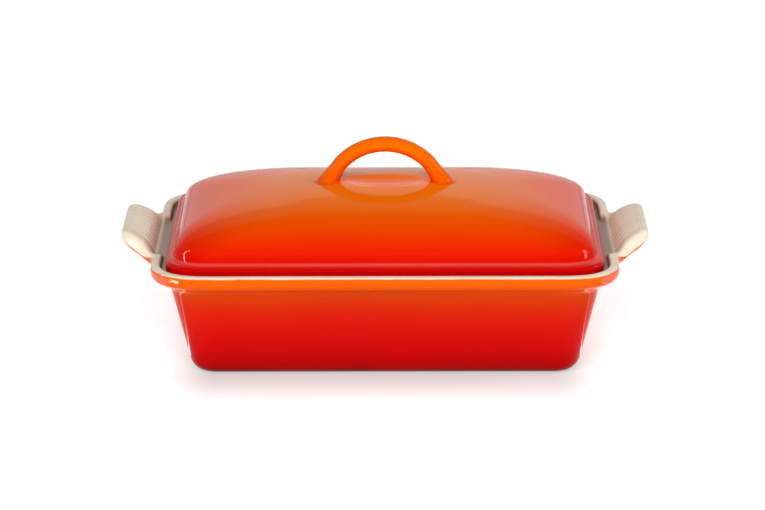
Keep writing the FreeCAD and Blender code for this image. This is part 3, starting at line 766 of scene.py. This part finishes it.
def make_materials():
    dish_stops = [
        (0.0, colour(110, 0, 0)),
        (0.07, colour(185, 0, 2)),
        (0.30, colour(208, 2, 6)),
        (0.62, colour(210, 32, 2)),
        (0.82, colour(218, 78, 0)),
        (1.0, colour(242, 112, 0)),
    ]
    lid_stops = [
        (0.0, colour(196, 0, 8)),
        (0.22, colour(216, 2, 8)),
        (0.5, colour(238, 50, 0)),
        (0.78, colour(250, 102, 0)),
        (1.0, colour(255, 148, 24)),
    ]
    loop_stops = [(0.0, colour(244, 100, 0)), (0.4, colour(250, 114, 0)), (1.0, colour(255, 124, 0))]
    dish = glaze_material("dish_glaze", dish_stops, 0, RIM_TOP * MM, True)
    lid = glaze_material("lid_glaze", lid_stops, LEDGE * MM, (CROWN + 1.8) * MM, True)
    loop = glaze_material("loop_glaze", loop_stops, (CROWN - 3.2) * MM, (LOOP_TOP + 0.5) * MM, False)
    return dish, lid, loop


# ------------------------------------------------------------------ stage, lights and camera
def aim(item, place, target, roll=0.0):
    """Puts a camera or a lamp at a place and points it at the target."""
    item.location = place
    direction = Vector(target) - Vector(place)
    item.rotation_mode = "QUATERNION"
    rolled = Matrix.Rotation(roll, 4, "Z").to_quaternion()
    item.rotation_quaternion = direction.to_track_quat("-Z", "Y") @ rolled


def add_panel(name, place, target, width, height, power, mirrored):
    """A soft box: one that is mirrored only shows in the glaze, and any other only lights it."""
    data = bpy.data.lights.new(name, "AREA")
    data.shape, data.size, data.size_y = "RECTANGLE", width, height
    data.energy = power
    lamp = bpy.data.objects.new(name, data)
    bpy.context.scene.collection.objects.link(lamp)
    lamp.visible_glossy, lamp.visible_diffuse, lamp.visible_camera = mirrored, not mirrored, False
    aim(lamp, place, target)
    return lamp


def add_floor_strip(name, x, y, heading, length, width, power):
    """A narrow light lying on the floor, which shows as a streak in the leaning corners of the walls."""
    lamp = add_panel(name, (x, y, 0.001), (x, y, 1.0), length, width, power, True)
    lamp.rotation_mode = "XYZ"
    lamp.rotation_euler = (math.pi, 0, -math.radians(heading))


def make_stage():
    """Pale paper that the dish stands on, which glows a little so that it stays pale."""
    half = 6.0
    mesh = bpy.data.meshes.new("floor")
    corners = [(-half, -half, 0), (half, -half, 0), (half, half, 0), (-half, half, 0)]
    mesh.from_pydata(corners, [], [(0, 1, 2, 3)])
    floor = bpy.data.objects.new("floor", mesh)
    bpy.context.scene.collection.objects.link(floor)
    material, nodes, links, shader = new_material("floor_paper")
    grain = nodes.new("ShaderNodeTexNoise")
    grain.inputs["Scale"].default_value = 3.0
    shade = ramp_node(nodes, [(0.0, (0.58, 0.58, 0.58, 1)), (1.0, (0.60, 0.60, 0.60, 1))])
    links.new(grain.outputs["Fac"], shade.inputs[0])
    # painted shadow: the floor darkens towards the dish, most of all in front of it, in its colour and its
    # glow
    split = nodes.new("ShaderNodeSeparateXYZ")
    links.new(nodes.new("ShaderNodeTexCoord").outputs["Object"], split.inputs[0])
    gaps = []
    for axis, half_size, gain in (("X", 0.12, 2.0), ("Y", FOOT[1] * MM, 1.0)):
        away = maths(nodes, links, "ABSOLUTE", split.outputs[axis], 0)
        out = maths(nodes, links, "SUBTRACT", away, half_size)
        out = maths(nodes, links, "MULTIPLY", maths(nodes, links, "MAXIMUM", out, 0), gain)
        gaps.append(maths(nodes, links, "MULTIPLY", out, out))
    gap = maths(nodes, links, "SQRT", maths(nodes, links, "ADD", gaps[0], gaps[1]), 0)
    near = ramp_node(nodes, [(0.0, (0.62, 0.62, 0.62, 1)), (1.0, (1, 1, 1, 1))])
    links.new(map_range(nodes, links, gap, 0, 0.1, 0, 1), near.inputs[0])
    paper = nodes.new("ShaderNodeMix")
    paper.data_type, paper.blend_type = "RGBA", "MULTIPLY"
    paper.inputs["Factor"].default_value = 1
    links.new(shade.outputs[0], paper.inputs[6])
    links.new(near.outputs[0], paper.inputs[7])
    links.new(paper.outputs[2], shader.inputs["Base Color"])
    links.new(near.outputs[0], shader.inputs["Emission Color"])
    shader.inputs["Emission Strength"].default_value = 0.78
    shader.inputs["Roughness"].default_value = 0.9
    shader.inputs["Specular IOR Level"].default_value = 0.0
    mesh.materials.append(material)


def make_world():
    """A white room that is darker in front and above, where the camera stands."""
    world = bpy.data.worlds.new("studio")
    bpy.context.scene.world = world
    world.use_nodes = True
    nodes, links = world.node_tree.nodes, world.node_tree.links
    background = nodes["Background"]
    direction = nodes.new("ShaderNodeTexCoord").outputs["Generated"]
    toward = nodes.new("ShaderNodeVectorMath")
    toward.operation = "DOT_PRODUCT"
    links.new(direction, toward.inputs[0])
    lift = math.radians(62)
    toward.inputs[1].default_value = (0, -math.cos(lift), math.sin(lift))
    dark = (0.03, 0.03, 0.03, 1)
    shade = ramp_node(nodes, [(0.0, (1, 1, 1, 1)), (0.60, (1, 1, 1, 1)), (0.70, dark)], "EASE")
    links.new(map_range(nodes, links, toward.outputs["Value"], -1, 1, 0, 1), shade.inputs[0])
    links.new(shade.outputs[0], background.inputs["Color"])
    background.inputs["Strength"].default_value = 0.5


def make_camera():
    """A long lens a little above the dish, turned slightly so that the right end stands higher."""
    data = bpy.data.cameras.new("camera")
    data.sensor_width = 36
    data.lens = 172.05
    camera = bpy.data.objects.new("camera", data)
    bpy.context.scene.collection.objects.link(camera)
    target = Vector((-2.0, 0, 63.4)) * MM
    elevation, yaw, distance = math.radians(16.0), math.radians(0.2), 2.7
    back = Vector((
        math.sin(yaw) * math.cos(elevation),
        -math.cos(yaw) * math.cos(elevation),
        math.sin(elevation),
    ))
    aim(camera, target + back * distance, target, math.radians(-0.15))
    data.clip_start, data.clip_end = 0.05, 50
    bpy.context.scene.camera = camera


def main():
    dish_glaze, lid_glaze, loop_glaze = make_materials()
    dish = make_dish()
    dish.data.materials.append(dish_glaze)
    lid = make_lid()
    lid.data.materials.append(lid_glaze)
    loop = make_loop()
    loop.data.materials.append(loop_glaze)

    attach(dish, "dish")
    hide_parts("dish", "left_handle", "right_handle")
    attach(lid, "lid")
    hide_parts("lid")
    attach(loop, "lid")
    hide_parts("lid_handle")

    make_stage()
    make_world()
    middle = (0, 0, 0.05)
    add_panel("fill", (-0.5, -2.6, 2.0), middle, 2.5, 2.0, 96, False)
    add_panel("right_fill", (2.0, -0.2, 1.6), middle, 1.0, 1.0, 18, False)
    add_panel("back_wall", (0, 3.0, 0.9), middle, 6.0, 1.6, 14, True)
    add_panel("left_strip", (-1.65, 0.2, 1.0), middle, 0.1, 1.1, 16, True)
    add_panel("right_panel", (1.65, 0.2, 0.9), middle, 0.3, 0.7, 8, True)
    add_floor_strip("left_glint", -0.245, -0.078, -16, 0.2, 0.012, 0.03)
    add_floor_strip("right_glint", 0.245, -0.078, 16, 0.2, 0.012, 0.02)
    add_floor_strip("rim_glint", -0.44, -0.23, 24, 0.26, 0.06, 4.0)
    make_camera()
    view = bpy.context.scene.view_settings
    view.view_transform = "Standard"
    view.look = "Medium High Contrast"
    view.exposure = -0.3


main()
